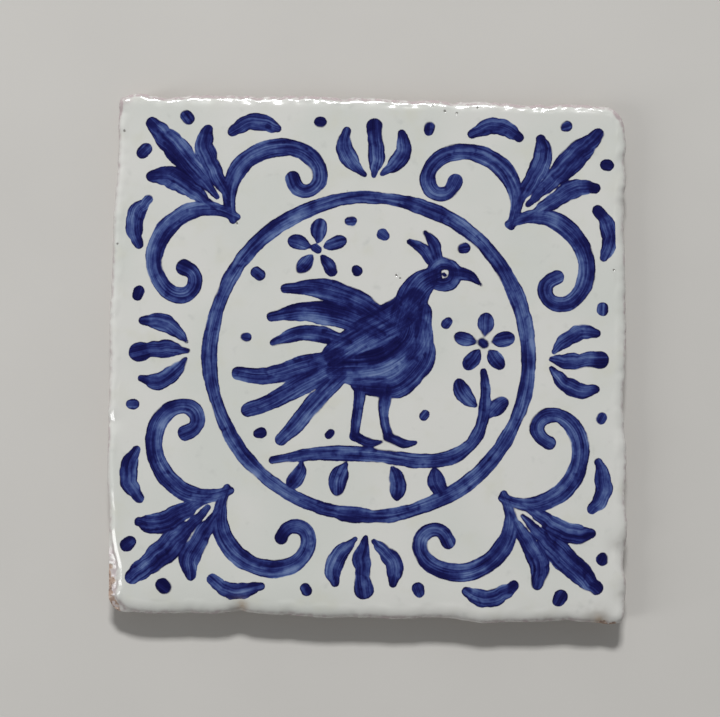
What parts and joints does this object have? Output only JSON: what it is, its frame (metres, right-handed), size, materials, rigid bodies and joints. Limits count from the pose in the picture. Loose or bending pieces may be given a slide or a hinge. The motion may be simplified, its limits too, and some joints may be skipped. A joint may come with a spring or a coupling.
{
  "type": "azulejo tile",
  "caption": "Square handmade earthenware wall tile with a white glazed face, cobalt blue brush painting, wavy hand-cut edges and a flat bare back for bedding in mortar.",
  "frame": {"origin": "middle of the flat back, where the tile lies on the floor or beds on a wall", "axes": "+Z out of the glazed face, +Y to the picture's top, +X to the picture's right"},
  "size_m": [0.2014, 0.2025, 0.012],
  "materials": {
    "glazed_earthenware": "glossy white tin glaze with cobalt brush painting over a matt pink-red earthenware body"
  },
  "bodies": {
    "root": {"tile": "glazed_earthenware"}
  },
  "joints": []
}
